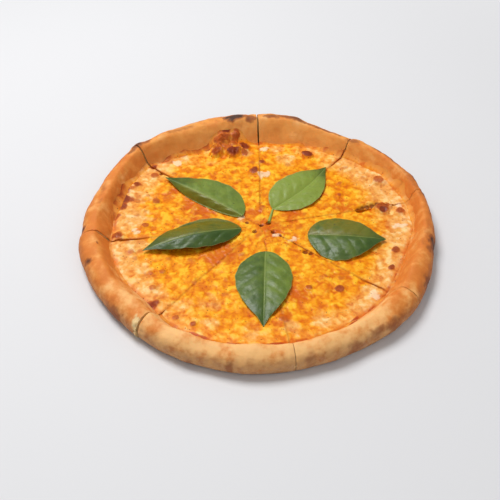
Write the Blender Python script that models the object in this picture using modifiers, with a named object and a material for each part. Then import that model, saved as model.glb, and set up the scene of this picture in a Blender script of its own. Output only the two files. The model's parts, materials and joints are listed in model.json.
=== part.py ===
"""Margherita pizza cut into eight slices that still lie together as one round.

Each slice is a wedge of dough with the raised rim of the crust, and on it lies its own wedge of
melted topping. Five large basil leaves rest on top. The pizza lies on its flat underside, with
its origin in the middle of that underside. +Y points to the tall back of the crust.
"""

import math

import bpy

MM = 0.001

# Dough, as an even round before the oven, in millimetres.
ROUND_RADIUS = 142.0
RIM_HEIGHT = 18.5
RIM_WIDTH = 24.0
BASE_THICKNESS = 3.6
BULGE_HEIGHT = 8.3
FOOT_INSET = 5.0
TURN_STEPS = 72

# The rim as baked: direction in degrees from +X, outer radius, height and width.
BAKED_RIM = (
    (0, 141.0, 18.5, 15.5),
    (15, 143.0, 19.0, 14.5),
    (30, 142.6, 19.5, 15.0),
    (45, 140.0, 20.5, 17.0),
    (55, 136.6, 21.0, 19.0),
    (66, 138.6, 22.0, 21.0),
    (76, 143.0, 24.0, 28.0),
    (90, 143.5, 25.0, 31.0),
    (105, 144.2, 24.5, 34.0),
    (120, 142.6, 23.5, 30.0),
    (132, 144.0, 22.5, 25.0),
    (140, 146.4, 21.0, 22.0),
    (150, 143.4, 20.0, 21.5),
    (165, 140.0, 19.0, 23.5),
    (186, 141.6, 18.5, 25.0),
    (204, 139.8, 18.5, 25.0),
    (225, 138.6, 18.5, 27.0),
    (240, 141.8, 18.5, 23.0),
    (270, 143.3, 18.5, 23.0),
    (292, 141.5, 18.5, 22.5),
    (322, 143.6, 18.5, 26.0),
    (338, 141.0, 18.5, 25.0),
    (348, 140.4, 18.5, 22.0),
)

# Topping: tomato sauce and melted cheese, which thins out a little way up the rim.
TOPPING_THICKNESS = 2.4
TOPPING_EDGE_THICKNESS = 0.5
TOPPING_CLIMB = 0.2
CLEARANCE = 0.35

# The cuts meet a little off the middle. Each has its direction in degrees over the topping, its
# direction through the rim, and the width of the gap that it leaves at the outside.
CUT_CENTRE = (2.0, 3.0)
CUT_GAP = 0.4
CUT_BEND_RADIUS = 100.0
CUTTER_RADIUS = 170.0
CUTS = (
    (13.0, 13.0, 0.8),
    (51.0, 49.8, 1.6),
    (90.0, 92.0, 1.8),
    (141.2, 141.2, 1.5),
    (189.0, 187.0, 1.2),
    (232.3, 232.3, 1.2),
    (279.0, 279.0, 0.8),
    (322.0, 323.5, 0.8),
)

# Slice 5 was pushed out of the round by this much.
PUSHED_SLICE = 5
PUSHED_OUT = 1.2

# Basil: where each leaf starts and ends, its half width on the left and on the right of the
# midrib, how far the midrib arches up, and how far the edges curl up.
LEAF_THICKNESS = 0.8
LEAF_REST_HEIGHT = 7.3
LEAF_ROWS = 11
LEAF_COLUMNS = 6
LEAF_END = 0.025
BASIL_LEAVES = (
    ((-13.1, 12.0), (-79.6, 61.1), 7.0, 26.0, 5.0, 1.0),
    ((13.0, 22.0), (60.4, 76.3), 22.0, 16.0, 1.5, 3.0),
    ((-13.1, -3.1), (-90.1, -28.7), 9.0, 23.0, 8.0, 1.0),
    ((39.4, -10.1), (101.3, -15.9), 22.0, 24.0, 4.0, 1.0),
    ((5.6, -27.6), (3.3, -103.4), 20.0, 22.0, 2.5, 1.5),
)

CRUST_COLOUR = (0.62, 0.27, 0.07)
TOPPING_COLOUR = (0.86, 0.36, 0.06)
BASIL_COLOUR = (0.08, 0.17, 0.05)


# Scene

def clear_scene():
    for item in list(bpy.data.objects):
        bpy.data.objects.remove(item, do_unlink=True)


def new_collection(name):
    collection = bpy.data.collections.new(name)
    bpy.context.scene.collection.children.link(collection)
    return collection


def new_material(name, colour, roughness):
    material = bpy.data.materials.new(name)
    material.use_nodes = True
    shader = material.node_tree.nodes["Principled BSDF"]
    shader.inputs["Base Color"].default_value = (*colour, 1.0)
    shader.inputs["Roughness"].default_value = roughness
    shader.inputs["Metallic"].default_value = 0.0
    return material


def new_object(name, mesh, collection, material=None):
    item = bpy.data.objects.new(name, mesh)
    collection.objects.link(item)
    if material is not None and not mesh.materials:
        mesh.materials.append(material)
    return item


def baked_mesh(item):
    """Returns the object's mesh with its modifiers applied, and removes the object."""
    evaluated = item.evaluated_get(bpy.context.evaluated_depsgraph_get())
    mesh = bpy.data.meshes.new_from_object(evaluated)
    bpy.data.objects.remove(item, do_unlink=True)
    return mesh


# Shapes

def smooth(t):
    return t * t * (3.0 - 2.0 * t)


def polar(radius, degrees, centre=(0.0, 0.0)):
    angle = math.radians(degrees)
    return (centre[0] + radius * math.cos(angle), centre[1] + radius * math.sin(angle))


def rim_at(degrees):
    """Outer radius, height and width of the baked rim in one direction."""
    degrees = degrees % 360.0
    rows = BAKED_RIM + ((360 + BAKED_RIM[0][0], *BAKED_RIM[0][1:]),)
    for before, after in zip(rows, rows[1:]):
        if degrees <= after[0]:
            share = smooth((degrees - before[0]) / (after[0] - before[0]))
            return [a + (b - a) * share for a, b in zip(before[1:], after[1:])]
    return rows[-1][1:]


def slope_height(t):
    """Height of the dough from the foot of the rim, t = 0, to its crest, t = 1."""
    rise = (smooth(t) + math.sin(math.pi / 2 * t)) / 2
    return BASE_THICKNESS + (RIM_HEIGHT - BASE_THICKNESS) * rise


def dough_profile():
    """Half section of the even round, from the middle out over the rim and back below."""
    foot = ROUND_RADIUS - RIM_WIDTH
    half = RIM_WIDTH / 2
    points = [(radius, BASE_THICKNESS) for radius in (0.0, 45.0, 85.0)]
    for t in (0.0, TOPPING_CLIMB / 2, TOPPING_CLIMB, 0.45, 0.7, 1.0):
        points.append((foot + half * t, slope_height(t)))
    for degrees in (30, 60, 90):
        angle = math.radians(degrees)
        height = BULGE_HEIGHT + (RIM_HEIGHT - BULGE_HEIGHT) * math.cos(angle)
        points.append((foot + half + half * math.sin(angle), height))
    for degrees in (45, 90):
        angle = math.radians(degrees)
        inset = FOOT_INSET * (1.0 - math.cos(angle))
        points.append((ROUND_RADIUS - inset, BULGE_HEIGHT * (1.0 - math.sin(angle))))
    points += [(85.0, 0.0), (0.0, 0.0)]
    return points


def topping_profile():
    """Half section of the topping, which rests just above the dough."""
    foot = ROUND_RADIUS - RIM_WIDTH
    half = RIM_WIDTH / 2
    under = [(radius, BASE_THICKNESS + CLEARANCE) for radius in (0.0, 45.0, 85.0)]
    for t in (0.0, TOPPING_CLIMB / 2, TOPPING_CLIMB):
        under.append((foot + half * t, slope_height(t) + CLEARANCE))
    top = BASE_THICKNESS + CLEARANCE + TOPPING_THICKNESS
    over = [(radius, top) for radius in (0.0, 45.0, 85.0, 112.0)]
    over.append((foot, top + 0.3))
    over.append((under[-1][0], under[-1][1] + TOPPING_EDGE_THICKNESS))
    return over + under[::-1]


def turned(name, profile):
    """Turns a half section about the upright axis and returns the mesh."""
    mesh = bpy.data.meshes.new(name)
    points = [(radius * MM, 0.0, height * MM) for radius, height in profile]
    mesh.from_pydata(points, [(i, i + 1) for i in range(len(points) - 1)], [])
    item = new_object(name, mesh, bpy.context.scene.collection)
    screw = item.modifiers.new("Turn", "SCREW")
    screw.angle = math.tau
    screw.steps = TURN_STEPS
    screw.render_steps = TURN_STEPS
    screw.use_merge_vertices = True
    screw.merge_threshold = 0.00001
    return baked_mesh(item)


def bake(mesh):
    """Pulls the even round into the uneven one that came out of the oven."""
    foot = ROUND_RADIUS - RIM_WIDTH
    for vertex in mesh.vertices:
        x, y, z = (value / MM for value in vertex.co)
        spread = math.hypot(x, y)
        if spread < 1.0:
            continue
        direction = math.degrees(math.atan2(y, x))
        radius, height, width = rim_at(direction)
        if spread <= foot:
            spread *= (radius - width) / foot
        else:
            spread = radius - width + (spread - foot) * width / RIM_WIDTH
        if z > BASE_THICKNESS:
            blend = min(1.0, (z - BASE_THICKNESS) / (RIM_HEIGHT - BASE_THICKNESS))
            z += (height - RIM_HEIGHT) * blend
        x, y = polar(spread, direction)
        vertex.co = (x * MM, y * MM, z * MM)


def cut_side(number, side):
    """The face of one cut, from the bend outwards: side is 1 on its left, -1 on its right."""
    inner, outer, gap = CUTS[number % len(CUTS)]
    points = []
    for degrees, radius, width in (
        (inner, CUT_BEND_RADIUS, (CUT_GAP + gap) / 2),
        (outer, CUTTER_RADIUS, gap),
    ):
        x, y = polar(radius, degrees, CUT_CENTRE)
        points.append(polar(side * width / 2, degrees + 90.0, (x, y)))
    return points


def wedge(number, collection, place):
    """The room between two neighbouring cuts, as an upright block."""
    start, end = CUTS[number][0], CUTS[(number + 1) % len(CUTS)][0]
    opening = (end - start) % 360.0
    tip_shift = CUT_GAP / 2 / math.sin(math.radians(opening / 2))
    tip = polar(tip_shift, start + opening / 2, CUT_CENTRE)
    outline = [tip] + cut_side(number, 1) + cut_side(number + 1, -1)[::-1]
    name = f"wedge_{number + 1}"
    mesh = bpy.data.meshes.new(name)
    points = [(x * MM, y * MM, -2 * MM) for x, y in outline]
    mesh.from_pydata(points, [], [range(len(points))])
    item = new_object(name, mesh, collection)
    item.location = place
    block = item.modifiers.new("Block", "SOLIDIFY")
    block.thickness = (RIM_HEIGHT + 15.0) * MM
    block.offset = 1.0
    item.hide_render = True
    item.display_type = "WIRE"
    return item


def keep_inside(item, cutter):
    boolean = item.modifiers.new("Slice", "BOOLEAN")
    boolean.operation = "INTERSECT"
    boolean.solver = "EXACT"
    boolean.object = cutter


# Pieces

def make_slices(pizza, cutters, crust, topping):
    dough = turned("dough", dough_profile())
    bake(dough)
    dough.materials.append(crust)
    cheese = turned("cheese", topping_profile())
    bake(cheese)
    cheese.materials.append(topping)
    for mesh in (dough, cheese):
        mesh.shade_smooth()
        mesh.set_sharp_from_angle(angle=math.radians(40.0))
    for number in range(len(CUTS)):
        place = (0.0, 0.0, 0.0)
        if number + 1 == PUSHED_SLICE:
            middle = (CUTS[number][0] + CUTS[number + 1][0]) / 2
            place = (*(value * MM for value in polar(PUSHED_OUT, middle)), 0.0)
        cutter = wedge(number, cutters, place)
        for name, mesh in (("slice", dough), ("cheese", cheese)):
            item = new_object(f"{name}_{number + 1}", mesh, pizza)
            item.location = place
            keep_inside(item, cutter)


def leaf_half_width(t):
    """Share of the full half width along a leaf, broadest nearer its stalk."""
    return max(0.04, math.sin(math.pi * t ** 0.75) ** 0.9)


def make_leaf(number, leaf, pizza, material):
    start, end, left, right, arch, curl = leaf
    length = math.dist(start, end)
    along = ((end[0] - start[0]) / length, (end[1] - start[1]) / length)
    points = []
    for row in range(LEAF_ROWS):
        t = LEAF_END + (1.0 - 2.0 * LEAF_END) * row / (LEAF_ROWS - 1)
        for column in range(LEAF_COLUMNS + 1):
            across = 2.0 * column / LEAF_COLUMNS - 1.0
            offset = across * leaf_half_width(t) * (left if across < 0 else right)
            x = start[0] + along[0] * length * t + along[1] * offset
            y = start[1] + along[1] * length * t - along[0] * offset
            lift = math.sin(math.pi * t) * (arch * (1.0 - across ** 2) + curl * across ** 2)
            points.append((x * MM, y * MM, (LEAF_REST_HEIGHT + lift) * MM))
    faces = []
    for row in range(LEAF_ROWS - 1):
        for column in range(LEAF_COLUMNS):
            corner = row * (LEAF_COLUMNS + 1) + column
            faces.append((corner, corner + 1, corner + LEAF_COLUMNS + 2, corner + LEAF_COLUMNS + 1))
    name = f"basil_{number}"
    mesh = bpy.data.meshes.new(name)
    mesh.from_pydata(points, [], faces)
    item = new_object(name, mesh, pizza, material)
    mesh.shade_smooth()
    solid = item.modifiers.new("Thickness", "SOLIDIFY")
    solid.thickness = LEAF_THICKNESS * MM
    solid.offset = 0.0


def main():
    clear_scene()
    pizza = new_collection("margherita_pizza")
    cutters = new_collection("cutters")
    crust = new_material("crust", CRUST_COLOUR, 0.65)
    topping = new_material("topping", TOPPING_COLOUR, 0.35)
    basil = new_material("basil", BASIL_COLOUR, 0.45)
    make_slices(pizza, cutters, crust, topping)
    for number, leaf in enumerate(BASIL_LEAVES, start=1):
        make_leaf(number, leaf, pizza, basil)


main()
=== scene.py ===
# %% [markdown]
# # A margherita pizza
# The pizza is built the way it is made. Eight wedges of dough carry the puffed rim of the crust,
# a layer of sauce and melted cheese lies in the hollow inside the rim, and five basil leaves rest
# on top. The frame gives the true size and place of every wedge and leaf. This file measures that
# frame and models the fine surface on it: bubbles, burns, the crumb at the cuts, the relief of
# the cheese and the veins of the leaves.

# %% Load the frame
import itertools
import json
import math

import bmesh
import bpy
import numpy as np
from mathutils.bvhtree import BVHTree
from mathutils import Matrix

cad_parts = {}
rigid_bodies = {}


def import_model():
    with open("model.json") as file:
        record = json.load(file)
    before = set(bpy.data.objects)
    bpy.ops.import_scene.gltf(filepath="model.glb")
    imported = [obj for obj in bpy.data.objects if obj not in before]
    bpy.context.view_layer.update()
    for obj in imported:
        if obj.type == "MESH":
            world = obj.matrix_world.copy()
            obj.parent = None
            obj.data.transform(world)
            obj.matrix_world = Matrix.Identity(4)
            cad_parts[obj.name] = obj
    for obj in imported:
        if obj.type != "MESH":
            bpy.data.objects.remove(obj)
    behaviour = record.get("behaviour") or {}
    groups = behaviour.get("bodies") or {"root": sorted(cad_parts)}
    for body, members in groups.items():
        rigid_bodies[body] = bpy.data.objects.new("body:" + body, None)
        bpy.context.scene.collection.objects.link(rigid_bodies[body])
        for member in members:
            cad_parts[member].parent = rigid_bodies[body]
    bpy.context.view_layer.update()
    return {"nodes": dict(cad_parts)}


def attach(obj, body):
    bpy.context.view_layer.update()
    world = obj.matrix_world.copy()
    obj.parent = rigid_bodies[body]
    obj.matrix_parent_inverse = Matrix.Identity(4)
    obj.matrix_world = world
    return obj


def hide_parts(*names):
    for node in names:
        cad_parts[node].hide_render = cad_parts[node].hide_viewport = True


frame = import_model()

# %% [markdown]
# Food is easier to think about in millimetres, so every size below is in millimetres and is
# turned into metres only when a mesh is made. Places are on the pizza seen from above: x to the
# right, y away from the viewer, z up from the surface that it lies on.

# %% Small helpers for numbers
MM = 0.001


def smoothstep(low, high, value):
    """0 below low, 1 above high, with a soft change between them."""
    share = np.clip((value - low) / (high - low), 0.0, 1.0)
    return share * share * (3.0 - 2.0 * share)


def blend(a, b, share):
    return a + (b - a) * share


def srgb(red, green, blue):
    """A colour as it looks on a screen, 0 to 255, turned into the linear one that shaders use."""
    values = (channel / 255.0 for channel in (red, green, blue))
    linear = (v / 12.92 if v <= 0.04045 else ((v + 0.055) / 1.055) ** 2.4 for v in values)
    return (*linear, 1.0)


# %% [markdown]
# Dough and melted cheese have no straight lines, so their relief comes from noise. Gradient noise
# puts a random slope at every corner of a grid and blends between them, which gives soft lumps of
# one size. Sums of finer and finer noise give lumps with detail. A cell pattern, where each point
# knows how far the nearest random seed is, gives bubbles and curds. All of them are written with
# numpy, because a mesh here has tens of thousands of points.

# %% Noise
def lattice(places, seed):
    """A repeatable random number from 0 to 1 for each whole-numbered place."""
    x, y, z = (places[:, axis] for axis in range(3))
    mixed = (x * 73856093) ^ (y * 19349663) ^ (z * 83492791) ^ (seed * 26544357)
    mixed = ((mixed ^ (mixed >> 13)) * 1274126177) & 0x7FFFFFFF
    mixed = ((mixed ^ (mixed >> 15)) * 2246822519) & 0x7FFFFFFF
    return ((mixed ^ (mixed >> 12)) & 0xFFFFF) / 0xFFFFF


def noise(points, size, seed=0):
    """Soft noise, about -1 to 1, whose lumps are size millimetres apart."""
    scaled = np.asarray(points, float) / size
    low = np.floor(scaled).astype(np.int64)
    part = scaled - low
    soft = part ** 3 * (part * (part * 6.0 - 15.0) + 10.0)
    total = np.zeros(len(scaled))
    for corner in itertools.product((0, 1), repeat=3):
        place = low + corner
        slope = np.stack([lattice(place, seed * 7 + axis) * 2.0 - 1.0 for axis in range(3)], axis=1)
        weight = np.prod(np.where(corner, soft, 1.0 - soft), axis=1)
        total += weight * np.sum(slope * (part - corner), axis=1)
    return total * 1.6


def layered_noise(points, size, layers, seed=0):
    """Noise with layers of finer and fainter detail on it."""
    total = np.zeros(len(points))
    for layer in range(layers):
        total += noise(points, size / 2 ** layer, seed + layer * 13) / 2 ** layer
    return total


def cells(points, size, seed=0):
    """How far the nearest seed of a cell pattern is, in cells, and a random number per cell."""
    scaled = np.asarray(points, float) / size
    low = np.floor(scaled).astype(np.int64)
    nearest = np.full(len(scaled), 9.0)
    chosen = np.zeros(len(scaled))
    for step in itertools.product((-1, 0, 1), repeat=3):
        place = low + step
        centre = place + np.stack([lattice(place, seed * 5 + axis) for axis in range(3)], axis=1)
        distance = np.sqrt(np.sum((scaled - centre) ** 2, axis=1))
        closer = distance < nearest
        nearest = np.where(closer, distance, nearest)
        chosen = np.where(closer, lattice(place, seed * 5 + 4), chosen)
    return nearest, chosen


# %% [markdown]
# A piece is made from an array of points and a list of faces. Points that fall together, such as
# those at the tip of a slice, are merged. Each piece can carry masks: one number for each point,
# such as how browned or how pale it is there, which its material then turns into colour.

# %% Making a piece
def make_piece(name, points, faces, material, masks=None, sharp=50.0):
    mesh = bpy.data.meshes.new(name)
    mesh.from_pydata((np.asarray(points) * MM).tolist(), [], faces)
    for mask, values in (masks or {}).items():
        layer = mesh.attributes.new(mask, "FLOAT", "POINT")
        layer.data.foreach_set("value", np.asarray(values, np.float32))
    work = bmesh.new()
    work.from_mesh(mesh)
    bmesh.ops.remove_doubles(work, verts=work.verts, dist=0.004 * MM)
    bmesh.ops.recalc_face_normals(work, faces=work.faces)
    work.to_mesh(mesh)
    work.free()
    mesh.materials.append(material)
    mesh.shade_smooth()
    mesh.set_sharp_from_angle(angle=math.radians(sharp))
    piece = bpy.data.objects.new(name, mesh)
    bpy.context.scene.collection.objects.link(piece)
    return piece


def grid_faces(rows, columns, first=0):
    """Quads over a grid of points that is stored row by row."""
    corner = first + np.arange(rows - 1)[:, None] * columns + np.arange(columns - 1)[None, :]
    corner = corner.ravel()
    quads = np.stack([corner, corner + 1, corner + columns + 1, corner + columns], axis=1)
    return quads.tolist()


def settle(piece, node):
    """The piece stands for one node of the frame and moves with it."""
    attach(piece, "root")
    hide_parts(node)


# %% [markdown]
# Materials are written as sums. The class below wraps one output of a shader node, so that
# `1 - mask * 0.5` builds the Math nodes it needs. `Finish` holds one material: its `node` method
# adds any node from a type, its settings and the values or links of its inputs.

# %% Shader maths
class Value:
    """One socket of a material, which can be used in sums."""

    def __init__(self, finish, socket):
        self.finish = finish
        self.socket = socket

    def maths(self, operation, *others):
        return self.finish.node("ShaderNodeMath", {"operation": operation}, dict(enumerate(others)))

    def __add__(self, other):
        return self.maths("ADD", self, other)

    __radd__ = __add__

    def __mul__(self, other):
        return self.maths("MULTIPLY", self, other)

    __rmul__ = __mul__

    def __sub__(self, other):
        return self.maths("SUBTRACT", self, other)

    def __rsub__(self, other):
        return self.maths("SUBTRACT", other, self)


class Finish:
    """One material with a Principled shader and a place on the piece to read patterns from."""

    def __init__(self, name):
        self.material = bpy.data.materials.new(name)
        self.material.use_nodes = True
        self.tree = self.material.node_tree
        self.shader = self.tree.nodes["Principled BSDF"]
        self.place = self.node("ShaderNodeTexCoord", output="Object")

    def node(self, kind, settings=None, inputs=None, output=0):
        made = self.tree.nodes.new(kind)
        for setting, value in (settings or {}).items():
            setattr(made, setting, value)
        for socket, value in (inputs or {}).items():
            if isinstance(value, Value):
                self.tree.links.new(value.socket, made.inputs[socket])
            else:
                made.inputs[socket].default_value = value
        return Value(self, made.outputs[output])

    def mask(self, name):
        """A number that the piece's mesh carries for each of its points."""
        return self.node("ShaderNodeAttribute", {"attribute_name": name}, output="Fac")

    def noise(self, size, detail=3.0, roughness=0.55):
        """Noise from 0 to 1 with lumps of about size millimetres."""
        inputs = {"Vector": self.place, "Scale": 1.0 / (size * MM), "Detail": detail}
        inputs["Roughness"] = roughness
        return self.node("ShaderNodeTexNoise", {}, inputs)

    def cells(self, size):
        """Distance to the seeds of a cell pattern with cells of about size millimetres."""
        inputs = {"Vector": self.place, "Scale": 1.0 / (size * MM)}
        return self.node("ShaderNodeTexVoronoi", {}, inputs, "Distance")

    def between(self, value, low, high):
        """0 where value is below low, 1 where it is above high, and soft between."""
        settings = {"interpolation_type": "SMOOTHSTEP", "clamp": True}
        inputs = {"Value": value, "From Min": low, "From Max": high}
        return self.node("ShaderNodeMapRange", settings, inputs)

    def mix(self, share, first, second):
        """Mixes two colours, either of which may be a plain colour or another mix."""
        settings = {"data_type": "RGBA", "blend_type": "MIX"}
        return self.node("ShaderNodeMix", settings, {0: share, 6: first, 7: second}, output=2)

    def bump(self, height, depth, before=None):
        """Fine relief, depth millimetres deep, on top of an earlier one."""
        inputs = {"Height": height, "Distance": depth * MM, "Strength": 1.0}
        if before is not None:
            inputs["Normal"] = before
        return self.node("ShaderNodeBump", {}, inputs)

    def set(self, **inputs):
        """Sets or links inputs of the Principled shader, written with _ for a space."""
        for name, value in inputs.items():
            socket = self.shader.inputs[name.replace("_", " ")]
            if isinstance(value, Value):
                self.tree.links.new(value.socket, socket)
            else:
                socket.default_value = value


# %% [markdown]
# The frame's slices are coarse: the dough was turned with one column of points every five
# degrees. Their foot, crest, outermost and underside points still give the whole outline, so it is
# measured here and nothing is typed in twice. Each slice is described from its own tip: a turn in
# degrees left or right of its middle, and a distance from the tip.

# %% Measure the slices of the frame
SLICES = 8
FLAT = 0.02
RIM_STARTS = 98.0
COLUMN_TURN = 5.0
ON_CUT = 0.012


def frame_points(node):
    """The points of a frame node, in millimetres."""
    mesh = frame["nodes"][node].data
    values = np.empty(len(mesh.vertices) * 3)
    mesh.vertices.foreach_get("co", values)
    return values.reshape(-1, 3) / MM


class Wedge:
    """One slice: its tip, its two cut sides and the outline of its rim."""

    def __init__(self, number):
        points = frame_points(f"slice_{number}")
        under = points[points[:, 2] < FLAT]
        middle = under[:, :2].mean(axis=0)
        self.heading = math.degrees(math.atan2(middle[1], middle[0]))
        ahead = middle / np.hypot(*middle)
        self.tip = under[np.argmin(under[:, :2] @ ahead), :2]
        away = points[:, :2] - self.tip
        distance = np.hypot(away[:, 0], away[:, 1])
        turn = np.degrees(np.arctan2(away[:, 1], away[:, 0])) - self.heading
        turn = (turn + 180.0) % 360.0 - 180.0
        self.measure_sides(points, distance, turn)
        self.measure_rim(points, distance, turn)

    def measure_sides(self, points, distance, turn):
        """Where the two cuts run: straight to a bend, then on to the outside."""
        below = points[:, 2] < FLAT
        inner = turn[below & (distance > 60.0) & (distance < 103.0)]
        outer = turn[below & (distance > 125.0)]
        self.side_distance = (99.0, 140.0)
        self.right_turn = (inner.min(), outer.min())
        self.left_turn = (inner.max(), outer.max())

    def measure_rim(self, points, distance, turn):
        """Foot, crest, outermost line and lower edge of the rim, all round the slice."""
        self.base = points[distance < 20.0, 2].max()
        right, left = self.turn_at(0.0, distance), self.turn_at(1.0, distance)
        share = (turn - right) / (left - right)
        direction = np.degrees(np.arctan2(points[:, 1], points[:, 0]))
        column = np.round(direction / COLUMN_TURN)
        off_column = np.abs(direction - column * COLUMN_TURN)
        on_rim = distance > RIM_STARTS
        inside = on_rim & (share > 3 * ON_CUT) & (share < 1 - 3 * ON_CUT) & (off_column < 1.0)
        groups = [on_rim & (share < ON_CUT), on_rim & (share > 1.0 - ON_CUT)]
        groups += [inside & (column == each) for each in np.unique(column[inside])]
        rows = []
        for group in groups:
            height, reach = points[group, 2], distance[group]
            if height.min() > FLAT or not np.any(np.abs(height - self.base) < FLAT):
                continue
            crest, outer = np.argmax(height), np.argmax(reach)
            foot = reach[np.abs(height - self.base) < FLAT].max()
            edge = reach[height < FLAT].max()
            place = share[group][crest]
            rows.append((place, foot, reach[crest], height[crest], reach[outer], height[outer], edge))
        rows = np.array(sorted(rows))
        self.rim_share = np.linspace(0.0, 1.0, 240)
        window = np.arange(-24, 25)
        kernel = np.exp(-(window / 11.0) ** 2)
        kernel /= kernel.sum()
        self.rim_lines = []
        for values in rows[:, 1:].T:
            line = np.interp(self.rim_share, rows[:, 0], values)
            line = np.pad(line, 24, mode="reflect", reflect_type="odd")
            self.rim_lines.append(np.convolve(line, kernel, mode="valid"))

    def rim(self, share):
        """Foot, crest, crest height, outermost, its height and lower edge at a share."""
        return [np.interp(share, self.rim_share, line) for line in self.rim_lines]

    def turn_at(self, share, distance):
        """The turn of a line that runs at a share of the way from the right cut to the left."""
        right = np.interp(distance, self.side_distance, self.right_turn)
        left = np.interp(distance, self.side_distance, self.left_turn)
        return blend(right, left, share)

    def spot(self, share, distance):
        """x and y of the point at that share across the slice and that distance from its tip."""
        angle = np.radians(self.heading + self.turn_at(share, distance))
        return self.tip[0] + distance * np.cos(angle), self.tip[1] + distance * np.sin(angle)


wedges = [Wedge(number) for number in range(1, SLICES + 1)]
for number, wedge in enumerate(wedges, start=1):
    sizes = ", ".join(f"{line.mean():.1f}" for line in wedge.rim_lines[:4])
    print(f"slice {number}: heading {wedge.heading:.0f}, foot, crest, height, outside {sizes}")

# %% [markdown]
# The crust is where the dough puffed up in the oven. Its surface is a soft skin with broad
# bulges, a few bubbles and patches that burned where they touched the oven floor or stood
# highest. A place on the rim is given by its direction, in degrees from +x, and by how far across
# the rim it lies: 0 at the foot inside, 0.5 on the crest, 0.8 where it is widest, 1 underneath.

# %% The dough's skin
CREST, BULGE = 0.5, 0.8

# Direction, place across the rim, length along the rim, breadth across it, and strength.
BURNS = (
    (99, 0.55, 16, 0.15, 1.35),
    (93, 0.48, 8, 0.12, 0.9),
    (84, 0.54, 12, 0.09, 0.8),
    (75, 0.57, 26, 0.10, 0.95),
    (62, 0.57, 24, 0.10, 0.75),
    (50, 0.50, 12, 0.12, 0.5),
    (122, 0.54, 34, 0.10, 0.4),
    (139, 0.60, 15, 0.10, 1.05),
    (36, 0.66, 28, 0.12, 0.75),
    (22, 0.72, 18, 0.12, 0.85),
    (14, 0.74, 10, 0.14, 1.1),
    (4, 0.72, 10, 0.10, 0.3),
    (349, 0.76, 11, 0.20, 1.15),
    (346, 0.66, 6, 0.10, 0.5),
    (333, 0.84, 10, 0.14, 1.0),
    (325, 0.90, 16, 0.08, 0.3),
    (312, 0.78, 12, 0.11, 0.5),
    (298, 0.80, 9, 0.10, 0.5),
    (306, 0.74, 9, 0.09, 0.5),
    (20, 0.56, 45, 0.22, 0.32),
    (352, 0.60, 30, 0.20, 0.28),
    (291, 0.90, 16, 0.10, 0.4),
    (284, 0.78, 6, 0.2, 0.35),
    (262, 0.80, 5, 0.08, 0.55),
    (250, 0.84, 7, 0.06, 0.55),
    (232, 0.92, 7, 0.10, 0.8),
    (222, 0.82, 16, 0.10, 0.75),
    (214, 0.86, 6, 0.08, 0.8),
    (200, 0.70, 4.5, 0.09, 1.0),
    (184, 0.78, 5, 0.14, 1.15),
    (193, 0.42, 3, 0.05, 0.7),
    (165, 0.60, 14, 0.10, 0.35),
    (172, 0.52, 8, 0.06, 0.3),
)

# Bubbles in the skin: direction, place across the rim, radius and height.
BUBBLES = (
    (98, 0.56, 11, 2.0),
    (75, 0.58, 12, 1.4),
    (128, 0.50, 12, 1.2),
    (139, 0.64, 8, 1.6),
    (160, 0.48, 13, 1.0),
    (176, 0.60, 12, 1.2),
    (205, 0.52, 14, 1.3),
    (226, 0.40, 10, 1.2),
    (247, 0.55, 15, 1.2),
    (268, 0.50, 14, 1.0),
    (292, 0.56, 16, 1.2),
    (316, 0.52, 13, 1.3),
    (336, 0.36, 16, 1.6),
    (352, 0.62, 11, 1.2),
    (22, 0.66, 14, 1.2),
    (48, 0.62, 9, 1.0),
)


def rim_mask(spots, direction, across, ragged, outer_radius=142.0):
    """For each burn or bubble, how near each point is to it: 1 in its middle, 0 outside."""
    for middle, place, length, breadth, strength in spots:
        along = (direction - middle + 180.0) % 360.0 - 180.0
        along = np.radians(along) * outer_radius / length
        wide = (across - place) / breadth
        far = np.sqrt(along ** 2 + wide ** 2) + ragged
        yield smoothstep(1.15, 0.1, far) * strength


def skin_relief(points, direction, across):
    """How far the skin of the rim stands out of the even one, in millimetres."""
    relief = noise(points, 34.0, 3) * 1.0 + noise(points, 15.0, 5) * 0.7
    relief += layered_noise(points, 6.0, 3, 8) * 0.28
    domes = [(d, place, radius, radius / 45.0, height) for d, place, radius, height in BUBBLES]
    for dome in rim_mask(domes, direction, across, 0.0):
        relief += dome
    wrinkle = np.abs(noise(points * (1.0, 1.0, 2.2), 9.0, 21))
    relief -= smoothstep(0.16, 0.0, wrinkle) * smoothstep(0.62, 0.9, across) * 0.35
    return relief


# %% [markdown]
# A slice of dough is a ladder of points. In every upright section from tip to rim, the lower line
# runs along the flat underside and round to the widest point of the rim, and the upper line runs
# over the flat and the crest to the same point. Sections side by side give the skin. The rungs
# between the two lines of the first and last section give the cut faces, which show the crumb.

# %% Sections through the dough
FLAT_STEPS = 8
SLOPE_STEPS = 20
CROWN_STEPS = 22
UNDER_STEPS = 30
TUCK_STEPS = SLOPE_STEPS + CROWN_STEPS - UNDER_STEPS
RUNGS = 9
SKIN_STEP = 0.95
# How much of the frame's gap stays open in the rim, for the cut on the left of each slice.
RIM_GAPS = (0.8, 1.0, 1.0, 0.8, 1.0, 0.35, 0.25, 0.4)
# Where the crust tore instead of being cut clean: side, share where it starts, share where it is
# torn through, and how far across the rim it begins.
TORN_ENDS = {5: (("left", 0.93, 0.99, 0.55),)}


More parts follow.
